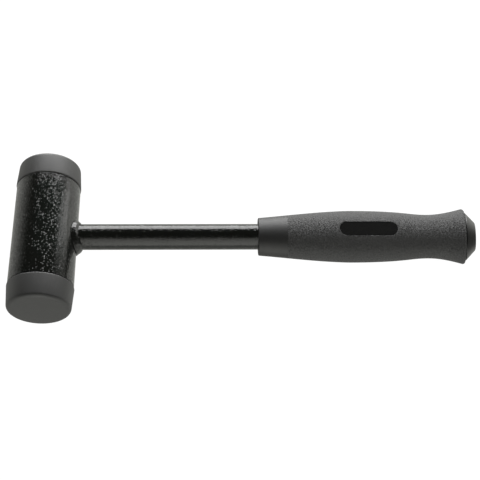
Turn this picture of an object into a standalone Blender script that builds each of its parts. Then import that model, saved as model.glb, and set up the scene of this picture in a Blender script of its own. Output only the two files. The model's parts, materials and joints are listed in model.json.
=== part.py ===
"""Dead blow hammer: a tubular steel head with nylon faces and loose shot, a tube handle and a moulded grip.

The hammer lies on its side: +X runs from the head to the butt, +Y along the head and +Z up. The origin is
under the middle of the hammer's box, on the surface that it lies on. All sizes are in metres.
"""

import math

import bmesh
import bpy
from mathutils import Vector

# Fit between pieces that seat on each other
FIT_GAP = 0.0003

# Head tube
HEAD_TUBE_DIAMETER = 0.0490
HEAD_TUBE_WALL = 0.0030
HEAD_TUBE_LENGTH = 0.0860
HEAD_TUBE_CHAMFER = 0.0006

# Striking faces
FACE_OVERHANG = 0.0005
FACE_HEIGHT = 0.0195
FACE_DRAFT = math.radians(4.0)
FACE_EDGE_RADIUS = 0.0030
FACE_LIP_CHAMFER = 0.0005
SPIGOT_LENGTH = 0.0120
SPIGOT_CHAMFER = 0.0010

# Discs that close the shot chamber, and the slotted pins that hold the faces on them
DISC_THICKNESS = 0.0060
DISC_FLOOR = 0.0015
DISC_CHAMFER = 0.0006
PIN_DIAMETER = 0.0080
PIN_WALL = 0.0010
PIN_SLOT = 0.0012
PIN_LENGTH = 0.0160

# Loose shot
BALL_DIAMETER = 0.0100
SHOT_BALLS = 30
BALLS_IN_LAYER = 10

# Handle tube and its weld
HANDLE_DIAMETER = 0.0197
HANDLE_WALL = 0.0015
WELD_LEG_ON_HEAD = 0.0038
WELD_LEG_ON_HANDLE = 0.0036
WELD_FRONT_EXTRA = 0.0008
WELD_FLANK_SHIFT = 0.0012
WELD_CROWN = 0.0003
WELD_EDGE = 0.0003

# Grip, with its lengths measured along the handle and its rises across the thin way of its oval section
GRIP_FROM_HEAD_AXIS = 0.1621
GRIP_OVAL_RATIO = 1.40
COLLAR_OVAL_RATIO = 1.30
GRIP_TURN = math.radians(4.3)
COLLAR_LENGTH = 0.0222
COLLAR_WALL = 0.0014
COLLAR_EDGE_RADIUS = 0.0008
COLLAR_FLARE = math.radians(3.2)
SLEEVE_WALL = 0.00105
COVER_WALL_AT_WAIST = 0.0011
FRONT_TO_BELLY = 0.0702
BELLY_RISE = 0.0023
FRONT_TO_WAIST = 0.1303
SHOULDER_BEFORE_WAIST = 0.0134
SHOULDER_RISE = 0.00064
SHOULDER_FALL = math.radians(5.0)
WAIST_TO_RIM = 0.0268
RIM_RISE = 0.0033
RIM_FLARE = math.radians(11.4)
RIM_WIDTH = 0.0023
RIM_ROUNDING = 0.0010
CONE_STEP = 0.0015
CONE_LENGTH = 0.0074
BUTT_THICKNESS = 0.0162
BUTT_EDGE_RADIUS = 0.0005
TUBE_END_TO_BUTT = 0.0280

# Oval plaque in the grip
FRONT_TO_PLAQUE = 0.0833
PLAQUE_LENGTH = 0.0441
PLAQUE_WIDTH = 0.0116
PLAQUE_RECESS = 0.0003
POCKET_DEPTH = 0.0024

# Facets
ROUND_STEPS = 48
PIN_STEPS = 20
BALL_SEGMENTS = 10
BALL_RINGS = 6
ARC_STEPS = 5
STRETCH_STEPS = 6
PLAQUE_END_STEPS = 10
MERGE_DISTANCE = 0.00001
SHARP_ANGLE = math.radians(40.0)

# Radii worked out from the sizes above
HEAD_RADIUS = HEAD_TUBE_DIAMETER / 2
CHAMBER_RADIUS = HEAD_RADIUS - HEAD_TUBE_WALL
FACE_RADIUS = HEAD_RADIUS + FACE_OVERHANG
BALL_RADIUS = BALL_DIAMETER / 2
HANDLE_RADIUS = HANDLE_DIAMETER / 2
GRIP_BORE = HANDLE_RADIUS + FIT_GAP
PIN_BORE = PIN_DIAMETER / 2 + FIT_GAP

# Half the grip's thickness at its parts, worked out from the sizes above
COLLAR_HALF = GRIP_BORE + COLLAR_WALL
SLEEVE_HALF = GRIP_BORE + SLEEVE_WALL
COVER_BORE_HALF = SLEEVE_HALF + FIT_GAP
WAIST_HALF = COVER_BORE_HALF + COVER_WALL_AT_WAIST
BELLY_HALF = WAIST_HALF + BELLY_RISE
RIM_HALF = WAIST_HALF + RIM_RISE
BUTT_HALF = BUTT_THICKNESS / 2

# Stations along the head, from its middle
TUBE_MOUTH = HEAD_TUBE_LENGTH / 2
FACE_SEAT = TUBE_MOUTH + FIT_GAP
STRIKING_PLANE = TUBE_MOUTH + FACE_HEIGHT
SPIGOT_END = TUBE_MOUTH - SPIGOT_LENGTH
DISC_OUTSIDE = SPIGOT_END - FIT_GAP
DISC_INSIDE = DISC_OUTSIDE - DISC_THICKNESS
SOCKET_FLOOR = DISC_INSIDE + DISC_FLOOR
PIN_START = SOCKET_FLOOR + FIT_GAP
PIN_END = PIN_START + PIN_LENGTH

# Stations along the handle, from the head's axis
COLLAR_END = GRIP_FROM_HEAD_AXIS + COLLAR_LENGTH
BELLY = GRIP_FROM_HEAD_AXIS + FRONT_TO_BELLY
WAIST = GRIP_FROM_HEAD_AXIS + FRONT_TO_WAIST
SHOULDER = WAIST - SHOULDER_BEFORE_WAIST
RIM = WAIST + WAIST_TO_RIM
COVER_END = RIM + RIM_WIDTH
CONE_START = COVER_END + FIT_GAP
BUTT = CONE_START + CONE_LENGTH
TUBE_END = BUTT - TUBE_END_TO_BUTT
PLAQUE_MIDDLE = GRIP_FROM_HEAD_AXIS + FRONT_TO_PLAQUE

# The handle dips from the head, so that the faces and the grip's rim rest on one plane
RIM_DROP = RIM_HALF * math.hypot(math.cos(GRIP_TURN), GRIP_OVAL_RATIO * math.sin(GRIP_TURN))
DIP = math.asin(FACE_RADIUS / math.hypot(RIM, RIM_DROP)) - math.atan2(RIM_DROP, RIM)
REACH = BUTT * math.cos(DIP) + BUTT_HALF * math.sin(DIP)
HEAD_FROM_ORIGIN = (REACH - FACE_RADIUS) / 2

ALONG_REAR = (-math.pi / 2, 0, 0)
ALONG_FRONT = (math.pi / 2, 0, 0)
ALONG_HANDLE = (0, math.pi / 2, 0)


def start_scene():
    """Empty the scene and make the collections for the pieces and for the cutters."""
    for old in list(bpy.data.objects):
        bpy.data.objects.remove(old, do_unlink=True)
    pieces = bpy.data.collections.new("dead_blow_hammer")
    cutters = bpy.data.collections.new("cutters")
    for collection in (pieces, cutters):
        bpy.context.scene.collection.children.link(collection)
    return pieces, cutters


def finish(name, colour, roughness, metallic=0.0):
    """A plain Principled finish."""
    material = bpy.data.materials.new(name)
    material.use_nodes = True
    shader = material.node_tree.nodes["Principled BSDF"]
    shader.inputs["Base Color"].default_value = (*colour, 1.0)
    shader.inputs["Roughness"].default_value = roughness
    shader.inputs["Metallic"].default_value = metallic
    return material


def place(name, data, collection, parent, material=None, location=(0, 0, 0), turn=(0, 0, 0)):
    """Add an object for this data under its parent."""
    piece = bpy.data.objects.new(name, data)
    collection.objects.link(piece)
    piece.parent = parent
    piece.location = location
    piece.rotation_euler = turn
    if material:
        data.materials.append(material)
    return piece


def turned(name, profile, collection, parent, material, turn, closed=False, steps=ROUND_STEPS):
    """Turn a profile of (radius, station) points, given from its far end to its near end."""
    outline = bmesh.new()
    points = [outline.verts.new((radius, 0, station)) for radius, station in profile]
    for first, second in zip(points, points[1:]):
        outline.edges.new((first, second))
    if closed:
        outline.edges.new((points[-1], points[0]))
    mesh = bpy.data.meshes.new(name)
    outline.to_mesh(mesh)
    outline.free()
    piece = place(name, mesh, collection, parent, material, turn=turn)
    screw = piece.modifiers.new("Turn", "SCREW")
    screw.steps = steps
    screw.render_steps = steps
    screw.use_merge_vertices = True
    screw.merge_threshold = MERGE_DISTANCE
    screw.use_smooth_shade = True
    return piece


def settled_mesh(piece, name):
    """The mesh of a piece with its modifiers applied."""
    bpy.context.view_layer.update()
    evaluated = piece.evaluated_get(bpy.context.evaluated_depsgraph_get())
    mesh = bpy.data.meshes.new_from_object(evaluated)
    mesh.name = name
    return mesh


def turned_mesh(name, profile, collection, parent, closed=False):
    """The mesh of a profile turned about the handle."""
    carrier = turned(f"{name}_carrier", profile, collection, parent, None, ALONG_HANDLE, closed)
    mesh = settled_mesh(carrier, name)
    bpy.data.objects.remove(carrier, do_unlink=True)
    return mesh


def as_cutter(piece):
    """Keep a piece as a cutting tool only."""
    piece.hide_render = True
    piece.display_type = "WIRE"
    return piece


def cut(piece, cutter, operation="DIFFERENCE"):
    """Cut a piece with a cutter."""
    boolean = piece.modifiers.new("Cut", "BOOLEAN")
    boolean.operation = operation
    boolean.solver = "EXACT"
    boolean.object = cutter


def arc(radius, station, size, start, end):
    """Points on an arc about (radius, station), from one angle to another."""
    angles = [start + (end - start) * step / ARC_STEPS for step in range(ARC_STEPS + 1)]
    return [(radius + size * math.cos(angle), station + size * math.sin(angle)) for angle in angles]


def head_tube_profile():
    """Cross-section of the head tube's wall, chamfered at both mouths."""
    edge = HEAD_TUBE_CHAMFER
    return [
        (CHAMBER_RADIUS, TUBE_MOUTH),
        (HEAD_RADIUS - edge, TUBE_MOUTH),
        (HEAD_RADIUS, TUBE_MOUTH - edge),
        (HEAD_RADIUS, -TUBE_MOUTH + edge),
        (HEAD_RADIUS - edge, -TUBE_MOUTH),
        (CHAMBER_RADIUS, -TUBE_MOUTH),
    ]


def face_profile():
    """A striking face: flat end, rounded edge, drafted side, lip over the tube, spigot and pin bore."""
    spigot_radius = CHAMBER_RADIUS - FIT_GAP
    bore_floor = PIN_END + FIT_GAP
    edge_station = STRIKING_PLANE - FACE_EDGE_RADIUS * (1 - math.sin(FACE_DRAFT))
    edge_radius = FACE_RADIUS - (edge_station - FACE_SEAT) * math.tan(FACE_DRAFT)
    arc_radius = edge_radius - FACE_EDGE_RADIUS * math.cos(FACE_DRAFT)
    arc_station = STRIKING_PLANE - FACE_EDGE_RADIUS
    return [
        (0, STRIKING_PLANE),
        *arc(arc_radius, arc_station, FACE_EDGE_RADIUS, math.pi / 2, FACE_DRAFT),
        (FACE_RADIUS, FACE_SEAT + FACE_LIP_CHAMFER),
        (FACE_RADIUS - FACE_LIP_CHAMFER, FACE_SEAT),
        (spigot_radius, FACE_SEAT),
        (spigot_radius, SPIGOT_END + SPIGOT_CHAMFER),
        (spigot_radius - SPIGOT_CHAMFER, SPIGOT_END),
        (PIN_BORE, SPIGOT_END),
        (PIN_BORE, bore_floor),
        (0, bore_floor),
    ]


def disc_profile():
    """A chamber disc with chamfered edges and a blind socket for its pin."""
    radius = CHAMBER_RADIUS - FIT_GAP
    edge = DISC_CHAMFER
    return [
        (0, SOCKET_FLOOR),
        (PIN_BORE, SOCKET_FLOOR),
        (PIN_BORE, DISC_OUTSIDE),
        (radius - edge, DISC_OUTSIDE),
        (radius, DISC_OUTSIDE - edge),
        (radius, DISC_INSIDE + edge),
        (radius - edge, DISC_INSIDE),
        (0, DISC_INSIDE),
    ]


def make_pin(name, pieces, parent, material, turn):
    """A slotted spring pin: an open band of tube, thickened inwards."""
    radius = PIN_DIAMETER / 2
    half_slot = math.asin(PIN_SLOT / 2 / radius)
    sweep = 2 * (math.pi - half_slot)
    band = bmesh.new()
    foot = band.verts.new((radius * math.cos(half_slot), radius * math.sin(half_slot), PIN_START))
    head = band.verts.new((foot.co.x, foot.co.y, PIN_END))
    side = band.edges.new((foot, head))
    bmesh.ops.spin(
        band,
        geom=[foot, head, side],
        axis=(0, 0, 1),
        cent=(0, 0, 0),
        dvec=(0, 0, 0),
        angle=sweep,
        steps=PIN_STEPS,
    )
    bmesh.ops.recalc_face_normals(band, faces=band.faces)
    if band.faces[0].normal.dot(Vector((*band.faces[0].calc_center_median().xy, 0))) < 0:
        bmesh.ops.reverse_faces(band, faces=band.faces)
    mesh = bpy.data.meshes.new(name)
    band.to_mesh(mesh)
    band.free()
    pin = place(name, mesh, pieces, parent, material, turn=turn)
    wall = pin.modifiers.new("Wall", "SOLIDIFY")
    wall.thickness = PIN_WALL
    wall.offset = -1.0
    return pin


def make_head(pieces, seat, paint, nylon, steel):
    """The head tube, and the face, disc and pin at each end."""
    turned("head_tube", head_tube_profile(), pieces, seat, paint, ALONG_REAR, closed=True)
    for end, turn in (("front", ALONG_FRONT), ("rear", ALONG_REAR)):
        turned(f"{end}_face", face_profile(), pieces, seat, nylon, turn)
        turned(f"{end}_chamber_disc", disc_profile(), pieces, seat, steel, turn)
        make_pin(f"{end}_face_pin", pieces, seat, steel, turn)


def crossings(first, first_radius, second, second_radius):
    """The points where two circles cross."""
    span = second - first
    reach = span.length
    if not abs(first_radius - second_radius) < reach < first_radius + second_radius:
        return []
    along = (first_radius**2 - second_radius**2 + reach**2) / (2 * reach)
    aside = math.sqrt(first_radius**2 - along**2)
    middle = first + span * (along / reach)
    offset = Vector((-span.y, span.x)) * (aside / reach)
    return [middle + offset, middle - offset]


def settled_layer():
    """Ball centres in one slice across the chamber, each dropped into the lowest free pocket."""
    axis = Vector((0, 0))
    wall = CHAMBER_RADIUS - BALL_RADIUS - FIT_GAP
    pitch = BALL_DIAMETER + FIT_GAP
    slack = FIT_GAP / 100
    centres = [Vector((0, -wall))]
    while len(centres) < BALLS_IN_LAYER:
        pockets = []
        for count, ball in enumerate(centres):
            pockets += crossings(axis, wall, ball, pitch)
            for other in centres[:count]:
                pockets += crossings(other, pitch, ball, pitch)
        inside = [pocket for pocket in pockets if pocket.length <= wall + slack]
        clear = pitch - slack
        free = [pocket for pocket in inside if all((pocket - ball).length >= clear for ball in centres)]
        if not free:
            break
        centres.append(min(free, key=lambda pocket: (round(pocket.y, 6), pocket.x)))
    return centres


def make_shot(pieces, shot, steel):
    """Loose balls in the middle of the chamber, in layers that each hold as many as fit across it."""
    ball = bmesh.new()
    bmesh.ops.create_uvsphere(ball, u_segments=BALL_SEGMENTS, v_segments=BALL_RINGS, radius=BALL_RADIUS)
    mesh = bpy.data.meshes.new("shot_ball")
    ball.to_mesh(mesh)
    ball.free()
    mesh.shade_smooth()
    mesh.materials.append(steel)
    centres = settled_layer()
    layers = math.ceil(SHOT_BALLS / len(centres))
    for count in range(SHOT_BALLS):
        layer, pocket = divmod(count, len(centres))
        side = 1 if layer % 2 else -1
        station = (layer - (layers - 1) / 2) * (BALL_DIAMETER + FIT_GAP)
        middle = (side * centres[pocket].x, station, centres[pocket].y)
        place(f"shot_ball_{count + 1:02d}", mesh, pieces, shot, location=middle)


def make_handle(pieces, cutters, seat, paint):
    """The handle tube, its front end cut to the curve of the head."""
    bore = HANDLE_RADIUS - HANDLE_WALL
    uncut_end = HEAD_RADIUS / 2
    wall = [
        (bore, TUBE_END),
        (HANDLE_RADIUS, TUBE_END),
        (HANDLE_RADIUS, uncut_end),
        (bore, uncut_end),
    ]
    tube = turned("handle_tube", wall, pieces, seat, paint, ALONG_HANDLE, closed=True)
    reach = HANDLE_DIAMETER
    drum = [
        (0, reach),
        (HEAD_RADIUS + FIT_GAP, reach),
        (HEAD_RADIUS + FIT_GAP, -reach),
        (0, -reach),
    ]
    mouth = turned("handle_mouth_cutter", drum, cutters, seat, None, ALONG_REAR, steps=2 * ROUND_STEPS)
    cut(tube, as_cutter(mouth))


def make_weld(pieces, seat, paint):
    """The weld: a turned collar dropped onto the head's curve, heavier in front and higher on the flanks."""
    inside = HANDLE_RADIUS + FIT_GAP
    base = HEAD_RADIUS + FIT_GAP
    fall = WELD_LEG_ON_HANDLE - WELD_EDGE
    slope = math.hypot(WELD_LEG_ON_HEAD, fall)
    profile = []
    for step in range(ARC_STEPS + 1):
        share = step / ARC_STEPS
        crown = WELD_CROWN * math.sin(math.pi * share)
        radius = inside + WELD_LEG_ON_HEAD * share + crown * fall / slope
        station = base + WELD_LEG_ON_HANDLE - fall * share + crown * WELD_LEG_ON_HEAD / slope
        profile.append((radius, station))
    profile += [(inside + WELD_LEG_ON_HEAD, base), (inside, base)]
    mesh = turned_mesh("handle_weld", profile, pieces, seat, closed=True)
    for point in mesh.vertices:
        reach = point.co.xy.length
        front = -WELD_FRONT_EXTRA * point.co.y / reach
        flank = WELD_FLANK_SHIFT * (point.co.x / reach) ** 2
        on_head = 1 + (front + flank) / WELD_LEG_ON_HEAD
        on_handle = 1 + (front - flank) / WELD_LEG_ON_HANDLE
        point.co.xy *= (inside + (reach - inside) * on_head) / reach
        seat_drop = base - math.sqrt(base**2 - point.co.x**2)
        point.co.z = base + (point.co.z - base) * on_handle - seat_drop
    mesh.shade_smooth()
    mesh.set_sharp_from_angle(angle=SHARP_ANGLE)
    place("handle_weld", mesh, pieces, seat, paint, turn=ALONG_HANDLE)


def grip_stations():
    """Station, half-thickness and slope of the grip at its front, belly, shoulder, waist and rim."""
    return [
        (GRIP_FROM_HEAD_AXIS, COLLAR_HALF, math.tan(COLLAR_FLARE)),
        (BELLY, BELLY_HALF, 0.0),
        (SHOULDER, WAIST_HALF + SHOULDER_RISE, -math.tan(SHOULDER_FALL)),
        (WAIST, WAIST_HALF, 0.0),
        (RIM, RIM_HALF, math.tan(RIM_FLARE)),
    ]


def half_thickness(station):
    """Half the grip's thickness, a smooth curve through its stations."""
    stations = grip_stations()
    pairs = list(zip(stations, stations[1:]))
    for (start, start_half, start_slope), (end, end_half, end_slope) in pairs:
        if station <= end:
            break
    span = end - start
    share = min(1.0, (station - start) / span)
    rise = share * share * (3 - 2 * share)
    leave = share * (1 - share) ** 2
    arrive = share * share * (share - 1)
    slopes = span * (start_slope * leave + end_slope * arrive)
    return start_half + (end_half - start_half) * rise + slopes


def oval_at(station):
    """Width over thickness of the grip, which flattens from its front to its belly."""
    share = min(1.0, (station - GRIP_FROM_HEAD_AXIS) / FRONT_TO_BELLY)
    return COLLAR_OVAL_RATIO + (GRIP_OVAL_RATIO - COLLAR_OVAL_RATIO) * share


def grip_outline(far, near):
    """Points of the grip's outline from a far station back to a near one."""
    marks = [station for station, _, _ in grip_stations() if near < station < far]
    ends = [near, *marks, far]
    stations = [far]
    for start, end in reversed(list(zip(ends, ends[1:]))):
        stations += [end - (end - start) * step / STRETCH_STEPS for step in range(1, STRETCH_STEPS + 1)]
    return [(half_thickness(station), station) for station in stations]


def core_profile():
    """The hard core: butt cone, sleeve under the cover, smooth front collar and blind bore for the tube."""
    edge = COLLAR_EDGE_RADIUS
    front = half_thickness(GRIP_FROM_HEAD_AXIS + edge)
    return [
        (0, BUTT),
        (BUTT_HALF - BUTT_EDGE_RADIUS, BUTT),
        (BUTT_HALF, BUTT - BUTT_EDGE_RADIUS),
        (RIM_HALF - CONE_STEP, CONE_START),
        (SLEEVE_HALF, CONE_START),
        (SLEEVE_HALF, COLLAR_END),
        *grip_outline(COLLAR_END, GRIP_FROM_HEAD_AXIS + edge),
        *arc(front - edge, GRIP_FROM_HEAD_AXIS + edge, edge, 0, -math.pi / 2)[1:],
        (GRIP_BORE, GRIP_FROM_HEAD_AXIS),
        (GRIP_BORE, TUBE_END + FIT_GAP),
        (0, TUBE_END + FIT_GAP),
    ]


def cover_profile():
    """The soft cover: rounded rim, waist and belly outside, straight bore inside."""
    near = COLLAR_END + FIT_GAP
    rounding = []
    for step in range(ARC_STEPS):
        angle = math.pi / 2 * (1 - step / ARC_STEPS)
        half = RIM_HALF - RIM_ROUNDING * (1 - math.cos(angle))
        rounding.append((half, RIM + RIM_WIDTH * math.sin(angle)))
    return [
        (COVER_BORE_HALF, COVER_END),
        *rounding,
        *grip_outline(RIM, near),
        (COVER_BORE_HALF, near),
    ]


def widened(name, profile, collection, parent, material=None, closed=False):
    """A turned piece of the grip, widened to an oval section except in the round bore for the tube."""
    mesh = turned_mesh(name, profile, collection, parent, closed)
    for point in mesh.vertices:
        if abs(point.co.xy.length - GRIP_BORE) > MERGE_DISTANCE:
            point.co.y *= oval_at(point.co.z)
    mesh.shade_smooth()
    mesh.set_sharp_from_angle(angle=SHARP_ANGLE)
    return place(name, mesh, collection, parent, material, turn=ALONG_HANDLE)


def oval_block(name, length, width, depth, collection, parent):
    """A block with an oval outline of straight sides and round ends, standing on its floor."""
    curve = bpy.data.curves.new(name, "CURVE")
    curve.dimensions = "2D"
    curve.fill_mode = "BOTH"
    curve.extrude = depth / 2
    spline = curve.splines.new("POLY")
    corners = []
    for side in (1, -1):
        for step in range(PLAQUE_END_STEPS + 1):
            angle = math.pi * (step / PLAQUE_END_STEPS - 0.5)
            along = (length - width) / 2 + width / 2 * math.cos(angle)
            corners.append((side * along, side * width / 2 * math.sin(angle)))
    spline.points.add(len(corners) - 1)
    for point, (x, y) in zip(spline.points, corners):
        point.co = (x, y, 0, 1)
    spline.use_cyclic_u = True
    outline = place(name + "_outline", curve, collection, parent)
    mesh = settled_mesh(outline, name)
    bpy.data.objects.remove(outline, do_unlink=True)
    solid = bmesh.new()
    solid.from_mesh(mesh)
    bmesh.ops.remove_doubles(solid, verts=solid.verts, dist=MERGE_DISTANCE)
    bmesh.ops.recalc_face_normals(solid, faces=solid.faces)
    solid.to_mesh(mesh)
    solid.free()
    return place(name, mesh, collection, parent)


def make_grip(pieces, cutters, grip, hard, soft, gloss):
    """The grip's core, its cover with an oval pocket, and the plaque in the pocket."""
    widened("grip_core", core_profile(), pieces, grip, hard)
    cover = widened("grip_cover", cover_profile(), pieces, grip, soft, closed=True)

    floor = BELLY_HALF - POCKET_DEPTH
    height = 2 * POCKET_DEPTH
    pocket = as_cutter(oval_block("plaque_pocket_cutter", PLAQUE_LENGTH, PLAQUE_WIDTH, height, cutters, grip))
    pocket.location = (PLAQUE_MIDDLE, 0, floor + height / 2)
    cut(cover, pocket)

    length = PLAQUE_LENGTH - 2 * FIT_GAP
    width = PLAQUE_WIDTH - 2 * FIT_GAP
    plaque = oval_block("grip_plaque", length, width, height, pieces, grip)
    plaque.location = (PLAQUE_MIDDLE, 0, floor + FIT_GAP + height / 2)
    plaque.data.materials.append(gloss)
    reach = PLAQUE_LENGTH / 2 + FIT_GAP
    outline = grip_outline(PLAQUE_MIDDLE + reach, PLAQUE_MIDDLE - reach)
    skin = [(half - PLAQUE_RECESS, station) for half, station in outline]
    barrel = [(0, skin[0][1]), *skin, (0, skin[-1][1])]
    crown = as_cutter(widened("plaque_crown_cutter", barrel, cutters, grip))
    cut(plaque, crown, "INTERSECT")


def empty(name, collection, parent=None, location=(0, 0, 0), turn=(0, 0, 0)):
    """An empty that carries other objects."""
    return place(name, None, collection, parent, location=location, turn=turn)


def main():
    """Build the hammer."""
    pieces, cutters = start_scene()
    paint = finish("black_paint", (0.012, 0.012, 0.013), 0.30)
    nylon = finish("grey_nylon", (0.055, 0.056, 0.058), 0.50)
    steel = finish("bare_steel", (0.55, 0.55, 0.56), 0.30, 1.0)
    hard = finish("grip_plastic", (0.060, 0.060, 0.061), 0.45)
    soft = finish("grip_rubber", (0.065, 0.065, 0.065), 0.60)
    gloss = finish("plaque_gloss", (0.010, 0.010, 0.011), 0.15)

    seat = empty("hammer_seat", pieces, location=(-HEAD_FROM_ORIGIN, 0, FACE_RADIUS), turn=(0, DIP, 0))
    shot = empty("shot_axis", pieces, seat, turn=(0, -DIP, 0))
    grip = empty("grip_axis", pieces, seat, turn=(GRIP_TURN, 0, 0))
    make_head(pieces, seat, paint, nylon, steel)
    make_shot(pieces, shot, steel)
    make_handle(pieces, cutters, seat, paint)
    make_weld(pieces, seat, paint)
    make_grip(pieces, cutters, grip, hard, soft, gloss)


main()
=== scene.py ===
"""Looks of the dead blow hammer: painted head and handle, nylon faces, grip, and the shot inside.

Each sub-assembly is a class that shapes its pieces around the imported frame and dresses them. Sizes
are in metres. Stations run along the head or along the handle, from the middle of the head.
"""

import json
import logging
import math
from dataclasses import dataclass, field
from enum import Enum

import bmesh
import bpy
from mathutils import Matrix, Vector, noise


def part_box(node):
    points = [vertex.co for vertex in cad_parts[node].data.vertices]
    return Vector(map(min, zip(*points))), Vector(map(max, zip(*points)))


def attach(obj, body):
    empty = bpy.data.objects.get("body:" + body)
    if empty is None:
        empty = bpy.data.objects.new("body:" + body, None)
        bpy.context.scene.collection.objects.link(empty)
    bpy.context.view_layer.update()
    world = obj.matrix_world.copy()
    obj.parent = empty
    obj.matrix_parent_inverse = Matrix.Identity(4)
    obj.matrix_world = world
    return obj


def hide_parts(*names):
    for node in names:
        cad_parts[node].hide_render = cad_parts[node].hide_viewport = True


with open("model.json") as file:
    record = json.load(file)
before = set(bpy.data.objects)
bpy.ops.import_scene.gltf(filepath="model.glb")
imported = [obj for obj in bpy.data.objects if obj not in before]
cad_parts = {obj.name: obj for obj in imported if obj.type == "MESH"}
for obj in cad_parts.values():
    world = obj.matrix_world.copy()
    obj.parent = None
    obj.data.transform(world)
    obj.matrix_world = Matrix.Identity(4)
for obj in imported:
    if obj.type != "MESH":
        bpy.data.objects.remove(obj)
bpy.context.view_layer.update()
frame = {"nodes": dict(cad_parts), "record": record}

log = logging.getLogger("dead_blow_hammer")

FULL_TURN = 2 * math.pi
MERGE_DISTANCE = 0.000002
SHARP_ANGLE = math.radians(50.0)
ARC_STEPS = 8
FIT_GAP = 0.0003
HEAD_RADIUS = 0.0245
NOISE_SPAN = (0.3, 0.7)

Pair = tuple[float, float]
Triple = tuple[float, float, float]
Colour = Triple
Profile = list[Pair]
Bands = tuple[Pair, ...]
Node = bpy.types.Node
Socket = bpy.types.NodeSocket
Shape = bmesh.types.BMesh


class Body(Enum):
    """The two bodies of the frame."""

    HAMMER = "hammer"
    SHOT = "shot"


class Slot(Enum):
    """The record's material slots."""

    PAINT = "black_paint"
    NYLON = "grey_nylon"
    STEEL = "bare_steel"
    PLASTIC = "grip_plastic"
    RUBBER = "grip_rubber"
    PLAQUE = "plaque_gloss"


class End(Enum):
    """The two ends of the head, with the turn that points local Z out of each."""

    FRONT = math.pi / 2
    REAR = -math.pi / 2

    def word(self) -> str:
        """The end's name in lower case."""
        return self.name.lower()


class Nodes:
    """The nodes of a material or of the world."""

    def __init__(self, owner: bpy.types.Material | bpy.types.World) -> None:
        """Start the nodes of their owner."""
        owner.use_nodes = True
        self.tree = owner.node_tree

    def node(self, kind: str, inputs: dict, **settings: object) -> Node:
        """Add a node.

        Args:
            kind: The node's type.
            inputs: Sockets to link or values to set, by the input's name or number.
            settings: The node's own options.

        Returns:
            The node.
        """
        node = self.tree.nodes.new(kind)
        for name, value in settings.items():
            setattr(node, name, value)
        for name, value in inputs.items():
            if isinstance(value, Socket):
                self.tree.links.new(value, node.inputs[name])
            else:
                node.inputs[name].default_value = value
        return node

    def span(self, value: Socket, source: Pair, target: Pair) -> Socket:
        """Carry a value from its source span to a target span, and hold it at the ends."""
        inputs = dict(enumerate((value, *source, *target)))
        return self.node("ShaderNodeMapRange", inputs).outputs[0]

    def math(self, operation: str, first: Socket | float, second: Socket | float = 0.0) -> Socket:
        """One sum of two values."""
        return self.node("ShaderNodeMath", {0: first, 1: second}, operation=operation).outputs[0]

    def vector(self, operation: str, *terms: Socket | Triple) -> Socket:
        """One sum of directions or colours."""
        inputs = dict(enumerate(terms))
        return self.node("ShaderNodeVectorMath", inputs, operation=operation).outputs[0]

    def parts(self, place: Socket) -> tuple[Socket, ...]:
        """The X, Y and Z of a place or a direction."""
        return tuple(self.node("ShaderNodeSeparateXYZ", {0: place}).outputs)


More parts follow.
